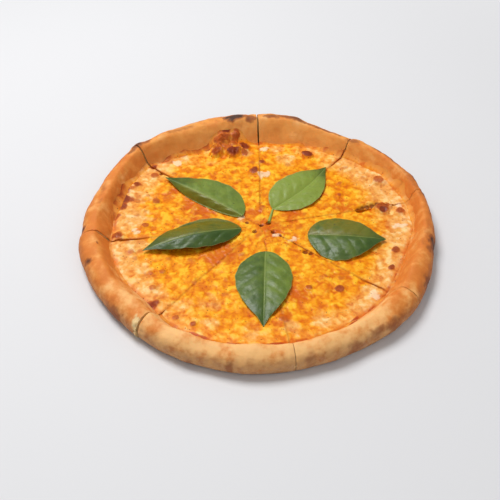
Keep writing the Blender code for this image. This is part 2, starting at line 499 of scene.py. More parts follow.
def dough_section(wedge, share):
    """Distance, height and place across the rim of the lower and the upper line of a section."""
    foot, crest, top, outer, bulge, edge = (line[:, None] for line in wedge.rim(share))
    base = wedge.base
    inside = np.linspace(0.0, 1.0, FLAT_STEPS + 1)[None, :-1]
    climb = np.linspace(0.0, 1.0, SLOPE_STEPS + 1)[None, :-1]
    rise = (climb * climb * (3.0 - 2.0 * climb) + np.sin(climb * math.pi / 2)) / 2
    crown = np.linspace(0.0, math.pi / 2, CROWN_STEPS + 1)[None, :]
    upper = [
        np.hstack([foot * inside, blend(foot, crest, climb), crest + (outer - crest) * np.sin(crown)]),
        np.hstack([
            base + 0.0 * foot * inside,
            base + (top - base) * rise,
            bulge + (top - bulge) * np.cos(crown),
        ]),
    ]
    across = np.hstack([inside * 0.0, climb * CREST, CREST + (BULGE - CREST) * np.sin(crown)])
    below = np.linspace(0.0, 1.0, UNDER_STEPS + 1)[None, :-1]
    tuck = np.linspace(math.pi / 2, 0.0, TUCK_STEPS + 1)[None, :]
    lower = [
        np.hstack([foot * inside, blend(foot, edge, below), outer - (outer - edge) * (1 - np.cos(tuck))]),
        np.hstack([0.0 * foot * inside, 0.0 * foot * below, bulge * (1.0 - np.sin(tuck))]),
    ]
    under = np.hstack([inside * 0.0 + 1.0, below * 0.0 + 1.0, 1.0 - (1.0 - BULGE) * np.cos(tuck)])
    shape = upper[0].shape
    return lower, upper, np.broadcast_to(under, shape), np.broadcast_to(across, shape)


def crumb_depth(points):
    """How deep the holes of the crumb go into a cut face, in millimetres."""
    large, _ = cells(points, 3.4, 31)
    small, _ = cells(points, 1.5, 32)
    holes = smoothstep(0.62, 0.2, large) * 0.9 + smoothstep(0.6, 0.25, small) * 0.4
    return holes * (0.75 + 0.5 * noise(points, 9.0, 33)) + 0.15


def close_to_neighbours(number, distance, x, y, side_gap, gaps):
    """Draws the right and left side of a piece towards the middle of its cut where gaps is below 1."""
    wedge = wedges[number - 1]
    others = wedges[number - 2], wedges[number % SLICES]
    opened = np.zeros_like(x)
    for side, (other, gap) in enumerate(zip(others, gaps)):
        row = -1 if side else 0
        weight = np.exp(-(side_gap[side] / 1.2) ** 2)
        own = wedge.spot(float(side), distance[row])
        beyond = other.spot(1.0 - side, distance[row])
        closed = (1.0 - gap) * weight * 0.49
        x = x + (beyond[0] - own[0])[None, :] * closed
        y = y + (beyond[1] - own[1])[None, :] * closed
        opened = np.maximum(opened, gap * weight)
    return x, y, opened


# A side this many times its gap away is left alone.
FAR_SIDE = 99.0


def make_dough(number, wedge, material):
    widest = wedge.rim_lines[3].max()
    columns = int(math.radians(wedge.left_turn[1] - wedge.right_turn[1]) * widest / SKIN_STEP) + 1
    share = np.linspace(0.0, 1.0, columns)
    lower, upper, under, across = dough_section(wedge, share)
    distance = np.hstack([lower[0], upper[0][:, -2::-1]])
    height = np.hstack([lower[1], upper[1][:, -2::-1]])
    place = np.hstack([under, across[:, -2::-1]])
    rows, loop = distance.shape

    x, y = wedge.spot(share[:, None], distance)
    flat = np.stack([x, y, height], axis=2).reshape(-1, 3)
    direction = np.degrees(np.arctan2(y, x)).ravel()
    run, lift = np.gradient(distance, axis=1), np.gradient(height, axis=1)
    length = np.hypot(run, lift) + 1e-9
    relief = skin_relief(flat, direction, place.ravel()).reshape(rows, loop)
    inner_fade = smoothstep(0.0, 0.16, place)
    lower_fade = smoothstep(0.3, 5.0, height)
    relief *= inner_fade * lower_fade
    torn = np.zeros_like(place)
    for side, start, end, low in TORN_ENDS.get(number, ()):
        jitter = layered_noise(flat, 7.0, 3, 45).reshape(rows, loop)
        toward = (share if side == "left" else 1.0 - share)[:, None]
        torn = smoothstep(start, end, toward + jitter * 0.03)
        torn = torn * smoothstep(low, low + 0.1, place + jitter * 0.12)
    relief -= torn * (crumb_depth(flat).reshape(rows, loop) * 2.0 - 0.8)
    half = np.minimum(share, 1.0 - share)[:, None] * (rows - 1) * SKIN_STEP
    relief -= np.exp(-(half / 1.2) ** 2) * 0.3 * inner_fade * lower_fade
    distance = distance + lift / length * relief
    height = np.maximum(height - run / length * relief, 0.0)
    x, y = wedge.spot(share[:, None], distance)
    pressed = [np.full_like(distance[0], gap) for gap in (RIM_GAPS[number - 2], RIM_GAPS[number - 1])]
    near_first = np.where(share < 0.5, 1.0, FAR_SIDE)[:, None]
    near_last = np.where(share < 0.5, FAR_SIDE, 1.0)[:, None]
    side_gap = half * near_first, half * near_last
    x, y, _ = close_to_neighbours(number, distance, x, y, side_gap, pressed)
    skin = np.stack([x, y, height], axis=2)

    points = [skin.reshape(-1, 3)]
    faces = grid_faces(rows, loop)
    masks = {
        "across": [place.ravel()],
        "crumb": [torn.ravel() * 0.6],
        "direction": [direction],
    }
    middle = loop // 2
    count = rows * loop
    rungs = np.linspace(0.0, 1.0, RUNGS + 1)[1:-1]
    for column, side in ((0, -1.0), (rows - 1, 1.0)):
        low = skin[column, :middle + 1]
        high = skin[column, :middle - 1:-1]
        rung = low[:, None, :] + (high - low)[:, None, :] * rungs[None, :, None]
        angle = math.radians(wedge.heading + wedge.turn_at(float(column > 0), 110.0) + 90.0 * side)
        outward = np.array([math.cos(angle), math.sin(angle), 0.0])
        shape = rung.shape[:2]
        thick = (high - low)[:, 2:3] * np.ones(shape)
        ease = smoothstep(0.0, 0.25, np.minimum(rungs, 1.0 - rungs))[None, :] * np.ones(shape)
        ends = smoothstep(2.0, 6.0, thick) * ease
        depth = crumb_depth(rung.reshape(-1, 3)).reshape(shape) * ends
        rung = rung - outward * depth[:, :, None]
        ladder = np.hstack([
            (column * loop + np.arange(middle + 1))[:, None],
            count + np.arange(shape[0] * shape[1]).reshape(shape),
            (column * loop + loop - 1 - np.arange(middle + 1))[:, None],
        ])
        for a, b in zip(ladder, ladder[1:]):
            for i in range(len(a) - 1):
                faces.append([int(a[i]), int(a[i + 1]), int(b[i + 1]), int(b[i])])
        points.append(rung.reshape(-1, 3))
        masks["across"].append(np.full(shape[0] * shape[1], 0.5))
        masks["crumb"].append((0.35 + 0.65 * ease).ravel() + 0.0 * depth.ravel())
        masks["direction"].append(np.degrees(np.arctan2(rung[..., 1], rung[..., 0])).ravel())
        count += shape[0] * shape[1]

    points = np.vstack(points)
    masks = {name: np.concatenate(values) for name, values in masks.items()}
    ragged = layered_noise(points, 5.0, 3, 41) * 0.35
    burn = np.zeros(len(points))
    for mark in rim_mask(BURNS, masks["direction"], masks["across"], ragged):
        burn = np.maximum(burn, mark)
    masks["burn"] = burn
    turned = np.radians(masks["direction"])
    masks["front"] = smoothstep(0.45, 0.95, -np.sin(turned))
    masks["back"] = smoothstep(0.3, 0.95, np.sin(turned))
    del masks["direction"]
    piece = make_piece(f"crust_slice_{number}", points, faces, material, masks)
    settle(piece, f"slice_{number}")
    return piece


# %% [markdown]
# Baked crust is matte and dry. Its colour runs from pale cream, where the dough stayed soft, over
# gold to reddish brown, and to a dull black where it burned. Below, it is dusted with flour and
# speckled. Inside, next to the topping, it is stained orange by oil and sauce. The cut faces show
# pale crumb.
# The inner slope at the back is painted lighter: painted light.
# The lower face is browner towards the floor, partly baked colour and partly painted shade, and the strip on
# the floor carries a painted contact shadow.

# %% Crust material
PALE_CRUST = srgb(250, 192, 122)
GOLD_CRUST = srgb(240, 158, 72)
AMBER_CRUST = srgb(218, 116, 36)
BROWN_CRUST = srgb(150, 78, 36)
PAINTED_CONTACT_SHADOW = srgb(104, 58, 30)
BACK_SLOPE_PAINTED_LIGHT = srgb(244, 176, 92)
CHAR = srgb(52, 36, 32)
CRUMB = srgb(246, 216, 158)
OIL_STAIN = srgb(226, 124, 30)
FLOUR = srgb(236, 210, 170)


def crust_material():
    finish = Finish("baked crust")
    across, burn, crumb = (finish.mask(name) for name in ("across", "burn", "crumb"))
    front, back = finish.mask("front"), finish.mask("back")
    broad = finish.noise(22.0, 2.0)
    patches = finish.noise(7.0, 4.0)
    fine = finish.noise(1.6, 4.0, 0.65)

    baked = finish.between(broad * 0.7 + patches * 0.5 - front * 0.32, 0.25, 0.6)
    colour = finish.mix(baked, PALE_CRUST, GOLD_CRUST)
    # The back of the rim is kept less amber: partly painted light for its inner slope, which the lamp lights
    # too little.
    deep = finish.between(patches * 0.8 + broad * 0.7 - front * 0.3 - back * 0.25, 0.45, 0.85)
    colour = finish.mix(deep * 0.8, colour, AMBER_CRUST)
    shoulder = finish.between(across, 0.5, 0.75) * back
    colour = finish.mix(shoulder * 0.4 * finish.between(patches, 0.35, 0.6), colour, BROWN_CRUST)
    inner = (1.0 - finish.between(across, 0.02, 0.3)) * finish.between(patches, 0.3, 0.62)
    colour = finish.mix(inner * 0.6, colour, OIL_STAIN)
    # Painted light: the inner slope at the back is painted lighter, for light the lamp does not give there.
    painted_back_slope_light = back * (1.0 - finish.between(across, 0.25, 0.5))
    colour = finish.mix(painted_back_slope_light * 0.5, colour, BACK_SLOPE_PAINTED_LIGHT)
    # Partly painted shade: the lower outer face is browned towards the floor, partly the crust's own baked
    # brown.
    lower = finish.between(across + patches * 0.2, 0.74, 1.0)
    colour = finish.mix(lower * 0.75, colour, BROWN_CRUST)
    # Painted contact shadow: the strip that touches the floor is painted dark brown.
    colour = finish.mix(finish.between(across, 0.86, 0.98) * 0.65, colour, PAINTED_CONTACT_SHADOW)
    speckle = finish.between(fine, 0.5, 0.7) * finish.between(across, 0.72, 0.95)
    colour = finish.mix(speckle * 0.35, colour, BROWN_CRUST)
    dusted = finish.between(across, 0.74, 0.9) * finish.between(fine * 0.8 + patches * 0.4, 0.56, 0.7)
    colour = finish.mix(dusted * 0.6, colour, FLOUR)
    leopard = finish.between(finish.noise(11.0, 5.0, 0.7), 0.55, 0.68) * finish.between(across, 0.97, 1.0)
    colour = finish.mix(leopard * 0.7, colour, BROWN_CRUST)
    browned = finish.between(burn + patches * 0.3, 0.2, 0.75)
    colour = finish.mix(browned * 0.8, colour, BROWN_CRUST)
    charred = finish.between(burn + patches * 0.5, 0.85, 1.5)
    colour = finish.mix(charred * 0.9, colour, CHAR)
    inside = finish.mix(finish.between(fine, 0.35, 0.7) * 0.3, CRUMB, GOLD_CRUST)
    colour = finish.mix(finish.between(crumb, 0.2, 0.5), colour, inside)

    rough = 0.56 + fine * 0.2
    relief = finish.bump(patches, 0.5)
    relief = finish.bump(fine, 0.22, relief)
    relief = finish.bump(finish.noise(0.5, 2.0), 0.08, relief)
    finish.set(Base_Color=colour, Roughness=rough, Normal=relief, Specular_IOR_Level=0.35)
    finish.set(Subsurface_Weight=0.1, Subsurface_Radius=(1.0, 0.5, 0.25), Subsurface_Scale=0.002)
    return finish.material


crust = crust_material()
for number, wedge in enumerate(wedges, start=1):
    piece = make_dough(number, wedge, crust)
    print(piece.name, len(piece.data.vertices), "points")

# %% [markdown]
# The topping is one melted layer of cheese and tomato sauce. It is modelled as heights over the
# pizza: broad lumps, soft grains of curd, blisters that rose and browned, and pits. It thins out
# on the slope of the rim, where red sauce shows beside it. Everything that belongs to one place,
# such as a blister, stands in a short list, and noise makes its outline ragged.

# %% Places on the topping
# Browned blisters: x, y, radius, height, browning.
BLISTERS = (
    (-27, 107, 15.0, 3.6, 0.72),
    (-37, 99, 7.0, 3.0, 1.05),
    (-36, 109, 5.0, 2.4, 0.8),
    (-31, 104, 5.5, 2.2, 0.75),
    (-29, 112, 5.0, 2.4, 0.9),
    (-22, 98, 7.0, 3.0, 1.25),
    (-20, 107, 5.0, 2.4, 0.85),
    (-19, 115, 6.0, 2.0, 0.85),
    (-28, 119, 5.0, 2.4, 1.5),
    (-11, 107, 6.5, 2.6, 1.2),
    (-11, 98, 4.0, 1.2, 0.8),
    (-45, 104, 6.0, 1.0, 0.85),
    (-55, 104, 8.0, 0.8, 0.75),
    (-66, 99, 7.0, 0.8, 0.75),
    (-113, 45, 8.0, 0.4, 0.95),
    (-112, 36, 9.0, 0.4, 1.15),
    (-115, 26, 8.0, 0.4, 1.05),
    (-117, 14, 6.0, 0.4, 0.85),
    (-108, 50, 5.0, 0.5, 0.75),
    (-101, 33, 4.0, 0.3, 0.6),
    (-3, 74, 5.6, 1.8, 1.1),
    (4, 86, 3.6, 1.2, 1.0),
    (45, 96, 6.0, 2.8, 1.3),
    (64, 105, 4.5, 1.8, 0.75),
    (36, 104, 5.0, 1.0, 0.45),
    (76, 98, 4.5, 1.0, 0.7),
    (105, 59, 6.6, 2.8, 0.8),
    (103, 24, 8.0, 3.4, 1.0),
    (117, 20, 5.0, 2.0, 0.95),
    (92, 63, 4.0, 1.2, 0.5),
    (69, 41, 3.0, 0.8, 0.8),
    (71, 56, 3.0, 0.8, 0.6),
    (74, 76, 2.8, 0.9, 0.6),
    (97, 88, 3.2, 0.8, 0.6),
    (-80, 90, 6.0, 1.5, 0.85),
    (-92, 79, 5.5, 1.2, 0.95),
    (-89, 67, 4.5, 0.9, 0.75),
    (-104, 54, 4.6, 1.6, 1.1),
    (-91, 3, 4.0, 1.0, 0.8),
    (-85, 32, 4.6, 1.2, 0.8),
    (-112, -10, 6.0, 1.4, 1.0),
    (-73, -49, 3.2, 0.9, 0.65),
    (-82, -51, 3.2, 0.9, 0.6),
    (-79, -66, 3.8, 1.0, 0.65),
    (-77, -82, 6.0, 1.0, 1.1),
    (-60, -95, 3.2, 0.8, 0.7),
    (-47, -101, 3.2, 0.8, 0.9),
    (38, -66, 3.8, 1.1, 0.85),
    (61, -67, 4.2, 1.1, 0.95),
    (108, -26, 4.0, 1.4, 0.95),
    (102, -45, 3.8, 1.2, 1.05),
    (95, -75, 4.8, 1.2, 0.75),
    (51, -54, 3.4, 0.8, 0.6),
    (56, -84, 3.0, 0.7, 0.55),
    (4, 24, 4.0, 0.7, 0.65),
    (20, 92, 2.4, 0.7, 0.5),
    (-100, -28, 4.0, 0.8, 0.6),
    (18, -97, 4.5, 0.8, 0.7),
)

# Pits and torn places: x, y, radius, depth.
PITS = (
    (84, 22, 4.4, 1.8),
    (88, 24, 4.8, 2.2),
    (92, 26, 5.0, 2.4),
    (96, 28, 5.0, 2.4),
    (100, 30, 4.2, 2.0),
    (37, -27, 3.0, 1.6),
    (41, -29, 2.6, 1.4),
    (-9, 7, 2.6, 0.8),
    (-3, -4, 3.0, 0.8),
    (3, 3, 3.0, 0.5),
    (8, 6, 2.6, 0.9),
    (12, -5, 2.8, 0.8),
    (18, -9, 2.0, 0.6),
    (-91, 78, 3.6, 1.4),
    (-84, 70, 2.6, 1.0),
    (103, 20, 4.0, 1.0),
)

# Where the cheese stayed thick and pale: x, y, radius, strength.
PALE = (
    (-84, 82, 17.0, 0.95),
    (-64, 90, 14.0, 0.8),
    (-98, 40, 19.0, 0.85),
    (-100, 12, 20.0, 1.0),
    (-98, -20, 18.0, 0.9),
    (-90, -48, 17.0, 0.85),
    (-74, -70, 14.0, 0.7),
    (-55, -84, 14.0, 0.65),
    (-35, -100, 12.0, 0.7),
    (-5, -110, 14.0, 0.7),
    (-35, -82, 16.0, 0.5),
    (25, 90, 16.0, 0.6),
    (24, -104, 12.0, 0.9),
    (46, -98, 14.0, 1.0),
    (68, -84, 11.0, 0.8),
    (86, -70, 14.0, 1.0),
    (96, -42, 12.0, 0.7),
    (108, -16, 15.0, 1.0),
    (112, 6, 15.0, 0.95),
    (102, 42, 16.0, 0.85),
    (88, 62, 16.0, 0.65),
    (96, 82, 12.0, 0.7),
    (72, 86, 14.0, 0.85),
    (50, 101, 12.0, 0.8),
    (18, 104, 13.0, 0.75),
    (-8, 99, 8.0, 0.7),
    (-40, 84, 10.0, 0.35),
    (60, 18, 10.0, 0.35),
    (-12, 9, 5.0, 0.8),
)

# Small lumps of white curd: x, y, radius, height.
CURDS = (
    (6, 69, 4.5, 1.4),
    (16, -8, 3.6, 1.2),
    (27, -14, 3.8, 0.9),
    (85, -73, 4.4, 0.7),
    (8, 104, 3.6, 0.7),
    (-13, 11, 3.2, 0.8),
    (118, 28, 3.5, 1.0),
    (-97, -4, 3.6, 0.6),
    (114, 3, 4.4, 0.7),
    (-70, 84, 4.5, 0.7),
)

# Red sauce that shows through: x, y, radius, strength.
SAUCE = (
    (-111, 40, 12.0, 0.85),
    (-104, 55, 6.0, 0.9),
    (-113, 24, 9.0, 0.7),
    (-113, 6, 8.0, 0.6),
    (-112, -12, 8.0, 0.75),
    (-100, -44, 8.0, 0.4),
    (-78, -84, 8.0, 0.75),
    (-12, -121, 17.0, 1.0),
    (10, -120, 12.0, 0.9),
    (-42, -112, 13.0, 0.75),
    (30, -114, 8.0, 0.7),
    (68, -98, 9.0, 0.9),
    (85, -87, 8.0, 0.8),
    (98, -68, 7.0, 0.6),
    (103, -52, 6.0, 0.6),
    (50, -106, 8.0, 0.6),
    (-62, -100, 10.0, 0.55),
    (2, 18, 8.0, 0.45),
    (20, -97, 5.0, 0.4),
)

# Orange oil that has pooled on the cheese: x, y, radius, strength.
OIL = (
    (-45, 30, 30.0, 0.9),
    (-50, 5, 25.0, 0.7),
    (-30, -28, 26.0, 1.0),
    (10, 0, 22.0, 0.8),
    (-62, 62, 12.0, 0.6),
    (48, 46, 20.0, 1.0),
    (28, 18, 16.0, 0.9),
    (70, 26, 14.0, 0.9),
    (-72, 46, 14.0, 0.7),
    (58, -58, 22.0, 0.6),
    (30, -72, 18.0, 0.8),
    (-30, -70, 24.0, 0.3),
    (-5, 20, 12.0, 0.7),
    (20, -92, 10.0, 0.8),
    (103, -55, 9.0, 0.8),
)

# Where the melted layer climbed high on the rim: direction, spread in degrees, how far.
CLIMBS = (
    (105, 8.5, 8.5),
    (123, 9.0, 2.0),
    (35, 24.0, 1.5),
    (160, 14.0, 2.5),
)

# %% [markdown]
# The knife opened the topping only in places; elsewhere the warm cheese closed again behind it and
# left a soft groove. The open stretches are listed for each cut by their distance from the middle.

# %% Relief of the topping
TOPPING_TOP = 6.4
TOPPING_STEP = 0.72
CLIMB = 2.2
GROOVE = 0.8
# For the cut on the left of each slice: where it opens and where it closes again.
OPEN_CUTS = ((106, 150), (118, 150), (82, 150), (94, 122), (116, 150), (122, 150), (98, 118), (84, 112))


def nearness(points, x, y, radius, ragged=0.0):
    """1 in the middle of a round spot, 0 at its radius and beyond, with a ragged edge."""
    far = np.hypot(points[:, 0] - x, points[:, 1] - y) / radius + ragged
    return np.clip(1.0 - far, 0.0, 1.0)


def spread(points, spots, ragged, soft):
    """One mask from a list of spots, each with its own strength, soft towards the edge."""
    mask = np.zeros(len(points))
    for x, y, radius, strength in spots:
        near = smoothstep(0.0, soft, nearness(points, x, y, radius, ragged))
        mask = np.maximum(mask, near * strength)
    return mask


def curd_grain(points):
    """How high the soft grains of melted curd stand, from 0 between them to 1 on top."""
    warp = np.stack([noise(points, 5.0, 50), noise(points, 5.0, 51), 0.0 * points[:, 0]], axis=1)
    large, tone = cells(points + warp * 3.0, 5.2, 55)
    small, fine_tone = cells(points + warp * 1.8, 2.9, 56)
    grain = smoothstep(0.85, 0.15, large) * (0.35 + 0.65 * tone) * 0.55
    grain += smoothstep(0.8, 0.1, small) * (0.3 + 0.7 * fine_tone) * 0.3
    grain += layered_noise(points, 8.0, 3, 54) * 0.28
    return np.clip(grain * 1.15 + 0.06, 0.0, 1.0)


def topping_relief(points):
    """Relief of the melted layer in millimetres, and its masks for colour."""
    wobble = layered_noise(points, 8.0, 3, 51)
    grain = curd_grain(points)
    relief = noise(points, 26.0, 52) * 0.6 + noise(points, 11.0, 53) * 0.45 + grain * 0.75 - 0.3
    brown, pit = np.zeros(len(points)), np.zeros(len(points))
    for x, y, radius, height, browning in BLISTERS:
        near = nearness(points, x, y, radius * 1.1, wobble * 0.3)
        relief += height * np.sqrt(1.0 - (1.0 - near) ** 2) * smoothstep(0.0, 0.3, near)
        brown = np.maximum(brown, smoothstep(0.0, 0.6, near) * browning)
    for x, y, radius, depth in PITS:
        near = nearness(points, x, y, radius, wobble * 0.25)
        relief -= depth * smoothstep(0.0, 0.7, near)
        pit = np.maximum(pit, smoothstep(0.05, 0.7, near))
    white = np.zeros(len(points))
    for x, y, radius, height in CURDS:
        near = nearness(points, x, y, radius * 1.3, wobble * 0.8 - grain * 0.2 + 0.1)
        relief += height * 0.7 * smoothstep(0.0, 0.7, near)
        white = np.maximum(white, smoothstep(0.0, 0.7, near))
    seed_distance, chance = cells(points + wobble[:, None] * 0.8, 8.5, 57)
    toast = smoothstep(0.4, 0.16, seed_distance) * (chance > 0.55) * (0.4 + 0.6 * chance)
    relief += toast * 0.3
    masks = {"brown": brown, "pit": pit, "white": white, "grain": grain, "toast": toast}
    reach = np.hypot(points[:, 0], points[:, 1]) + noise(points, 18.0, 58) * 9.0
    sideways = smoothstep(30.0, 90.0, np.abs(points[:, 0]))
    ring = smoothstep(84.0, 120.0, reach) * (0.3 + 0.4 * sideways)
    masks["pale"] = np.maximum(spread(points, PALE, wobble * 0.35, 1.0) * 0.85, ring)
    masks["sauce"] = spread(points, SAUCE, wobble * 0.25, 0.6)
    masks["oil"] = spread(points, OIL, wobble * 0.2, 0.8)
    return relief, masks


# %% [markdown]
# A piece of topping is a grid of heights from the tip of the slice to its ragged outer edge. Its
# underside needs only two points in each section, because it lies on the dough and never shows.

# %% Making the topping
def climb_limit(direction):
    """How far the topping climbs past the foot of the rim, in millimetres."""
    turned = np.radians(direction)
    place = np.stack([np.cos(turned), np.sin(turned), 0.0 * turned], axis=1) * 120.0
    limit = CLIMB + noise(place, 16.0, 61) * 1.8 + noise(place, 6.0, 62) * 0.7
    for middle, width, extra in CLIMBS:
        limit += np.exp(-((direction - middle) / width) ** 4) * extra
    return np.maximum(limit, 0.8)


def opening(number, distance):
    """For the right and left cut of a slice, 1 where the cut is open and 0 where it healed."""
    lines = []
    for start, end in (OPEN_CUTS[number - 2], OPEN_CUTS[number - 1]):
        begun = smoothstep(start - 5.0, start + 3.0, distance)
        lines.append(begun * smoothstep(end + 2.0, end - 4.0, distance))
    return lines


def make_topping(number, wedge, material):
    widest = wedge.rim_lines[0].max()
    angle = math.radians(wedge.left_turn[0] - wedge.right_turn[0])
    columns = int(angle * widest / TOPPING_STEP) + 1
    share = np.linspace(0.0, 1.0, columns)
    foot, crest, top, _, _, _ = (line[:, None] for line in wedge.rim(share))
    direction = (wedge.heading + wedge.turn_at(share, 118.0) + 180.0) % 360.0 - 180.0
    limit = climb_limit(direction)[:, None]
    ahead = np.linspace(0.0, 1.0, int(widest / TOPPING_STEP) + 1)[None, :]
    distance = ahead * (foot + limit)
    side_gap = share[:, None] * angle * distance, (1.0 - share[:, None]) * angle * distance
    x, y = wedge.spot(share[:, None], distance)
    x, y, opened = close_to_neighbours(number, distance, x, y, side_gap, opening(number, distance[0]))
    climb = np.clip((distance - foot) / (crest - foot), 0.0, 1.0)
    rise = (climb * climb * (3.0 - 2.0 * climb) + np.sin(climb * math.pi / 2)) / 2
    dough = wedge.base + (top - wedge.base) * rise
    points = np.stack([x, y, dough - wedge.base], axis=2).reshape(-1, 3)
    relief, masks = topping_relief(points)
    relief = relief.reshape(x.shape)

    left_over = foot + limit - distance
    thin = smoothstep(-1.0, 6.0, left_over)
    height = np.maximum(dough + 1.0 * thin, TOPPING_TOP - 1.2 * (1.0 - thin))
    height += relief * smoothstep(0.5, 6.0, left_over)
    height -= 0.4 * smoothstep(1.6, 0.0, left_over)
    near_cut = np.minimum(*side_gap)
    groove = np.exp(-(near_cut / GROOVE) ** 2) * smoothstep(2.0, 30.0, distance)
    height -= groove * (0.16 + 0.5 * opened)
    height = np.maximum(height, dough + 0.12)
    height[:, -1] = dough[:, -1] - 0.25

    grid = np.stack([x, y, height], axis=2)
    rows, loop = x.shape
    under = np.zeros((rows, 2, 3))
    for i, place in enumerate((0.0 * foot, foot * 0.97)):
        ux, uy = wedge.spot(share[:, None], place)
        under[:, i] = np.hstack([ux, uy, np.full_like(ux, wedge.base + 0.15)])
    all_points = np.vstack([grid.reshape(-1, 3), under.reshape(-1, 3)])
    first = rows * loop
    faces = grid_faces(rows, loop) + grid_faces(rows, 2, first)
    for row in range(rows - 1):
        a, b = row * loop + loop - 1, (row + 1) * loop + loop - 1
        faces.append([a, b, first + (row + 1) * 2 + 1, first + row * 2 + 1])
    for row in (0, rows - 1):
        far = first + row * 2 + 1
        faces.append([far, far - 1, row * loop])
        faces += [[far, row * loop + step, row * loop + step + 1] for step in range(loop - 1)]
    masks["edge"] = smoothstep(7.0, 0.5, np.broadcast_to(left_over, x.shape)).ravel()
    masks["slope"] = (climb * np.ones(x.shape)).ravel()
    masks["cut"] = (groove * (0.45 + 0.4 * opened)).ravel()
    masks = {name: np.concatenate([values, np.zeros(rows * 2)]) for name, values in masks.items()}
    piece = make_piece(f"melted_topping_{number}", all_points, faces, material, masks, 60.0)
    settle(piece, f"cheese_{number}")
    return piece


# %% [markdown]
# Melted cheese is yellow-orange where oil and sauce have stained it, and cream where it stayed
# thick. In both, the grains are painted lighter and the hollows between them darker: partly painted
# light and shade on the relief, partly the cheese's own mottled tone. It is soft and a little
# wet: its gloss is uneven and its bump is faint. Blisters go reddish brown.

# %% Topping material
WARM_HOLLOW_SHADE = srgb(214, 98, 0)
WARM_CHEESE = srgb(244, 150, 0)
WARM_GRAIN_LIGHT = srgb(255, 194, 44)
PALE_HOLLOW_SHADE = srgb(218, 128, 58)
PALE_CHEESE = srgb(242, 174, 88)
PALE_GRAIN_LIGHT = srgb(252, 212, 146)
WHITE_CURD = srgb(252, 222, 184)
OIL_ORANGE = srgb(212, 94, 0)
BLISTER = srgb(190, 88, 26)
DARK_BLISTER = srgb(122, 40, 18)
TOMATO = srgb(180, 60, 22)
PIT = srgb(120, 44, 12)
CUT_LINE = srgb(176, 78, 4)
SLOPE_TAN = srgb(228, 146, 60)


def topping_material():
    finish = Finish("melted topping")
    names = ("brown", "pit", "white", "grain", "toast", "pale", "sauce", "oil", "edge", "cut", "slope")
    masks = (finish.mask(name) for name in names)
    brown, pit, white, grain, toast, pale, sauce, oil, edge, cut, slope = masks
    broad = finish.noise(14.0, 3.0)
    mottle = finish.noise(4.2, 3.0, 0.55)
    flecks = finish.noise(1.5, 3.0, 0.6)

    # Partly painted light and shade: the grains of the relief are painted lighter and the hollows darker,
    # mixed with the cheese's own mottled tone.
    lit = grain * 0.6 + mottle * 0.75 + flecks * 0.1 - 0.36
    warm = finish.mix(finish.between(lit, -0.1, 0.3), WARM_HOLLOW_SHADE, WARM_CHEESE)
    warm = finish.mix(finish.between(lit, 0.18, 0.58), warm, WARM_GRAIN_LIGHT)
    cool = finish.mix(finish.between(lit, -0.1, 0.26), PALE_HOLLOW_SHADE, PALE_CHEESE)
    cool = finish.mix(finish.between(lit, 0.2, 0.55), cool, PALE_GRAIN_LIGHT)
    zone = finish.between(pale + broad * 0.4 + mottle * 0.35, 0.46, 1.1)
    colour = finish.mix(zone, warm, cool)
    pooled = finish.between(oil * 0.7 + broad * 0.6 - grain * 0.35, 0.3, 0.85) * (1.0 - zone * 0.6)
    colour = finish.mix(pooled * 0.8, colour, OIL_ORANGE)
    colour = finish.mix(finish.between(white + mottle * 0.4, 0.35, 1.1) * 0.75, colour, WHITE_CURD)
    rim_oil = finish.between(edge + mottle * 0.6, 0.7, 1.4)
    colour = finish.mix(rim_oil * 0.6, colour, OIL_ORANGE)
    dried = finish.between(slope + mottle * 0.3, 0.3, 0.55)
    colour = finish.mix(dried * 0.85, colour, SLOPE_TAN)
    seam = finish.between(edge, 0.3, 0.8)
    tomato = finish.between(sauce * seam * 0.7 + sauce * 0.28 + mottle * 0.5, 0.62, 1.05)
    colour = finish.mix(tomato * 0.85, colour, TOMATO)
    colour = finish.mix(toast * finish.between(mottle, 0.35, 0.6) * 0.65, colour, BLISTER)
    browned = finish.between(brown + mottle * 0.7 - grain * 0.1, 0.55, 1.15)
    colour = finish.mix(browned * 0.9, colour, BLISTER)
    scorched = finish.between(brown + flecks * 0.5 + mottle * 0.5, 1.15, 1.75)
    colour = finish.mix(scorched * 0.9, colour, DARK_BLISTER)
    colour = finish.mix(finish.between(pit, 0.15, 0.8) * 0.85, colour, PIT)
    dots = (1.0 - finish.between(finish.cells(3.2), 0.1, 0.22)) * finish.between(flecks, 0.46, 0.6)
    colour = finish.mix(dots * 0.8, colour, DARK_BLISTER)
    colour = finish.mix(cut, colour, CUT_LINE)

    wet = finish.between(broad * 0.6 + mottle * 0.5 + oil * 0.3, 0.45, 0.9)
    rough = 0.55 - wet * 0.2 + flecks * 0.1
    relief = finish.bump(mottle, 0.25)
    relief = finish.bump(flecks, 0.08, relief)
    finish.set(Base_Color=colour, Roughness=rough, Normal=relief, Specular_IOR_Level=0.16)
    finish.set(Coat_Weight=wet * 0.12 + brown * 0.1, Coat_Roughness=0.2)
    finish.set(Subsurface_Weight=0.12, Subsurface_Radius=(1.0, 0.5, 0.2), Subsurface_Scale=0.002)
    return finish.material


topping = topping_material()
for number, wedge in enumerate(wedges, start=1):
    piece = make_topping(number, wedge, topping)
    print(piece.name, len(piece.data.vertices), "points")

# %% [markdown]
# A basil leaf is one thin blade on a curved midrib. Its two halves can be folded up or down and
# curl on towards their edges. Side veins leave the midrib and run forward, and the blade puffs up
# between them, which gives basil its quilted look. Every leaf is the same function with its own
# sizes: how wide each half is and how it lies. Where a leaf starts and ends is measured from the
# frame, and the finished blade is let down until its lowest place meets the topping.

# %% Basil leaves
LEAF_ROWS, LEAF_COLUMNS = 96, 61
VEINS = 6.5
BLADE = 0.45
# Each end of the frame's leaf is cut short by this share of its length. Points this near count as an end.
SHORT_END = 0.026
END_BAND = 1.0
# How deep, in millimetres, the lowest place of a leaf sinks into the soft topping.
SINK = 0.2
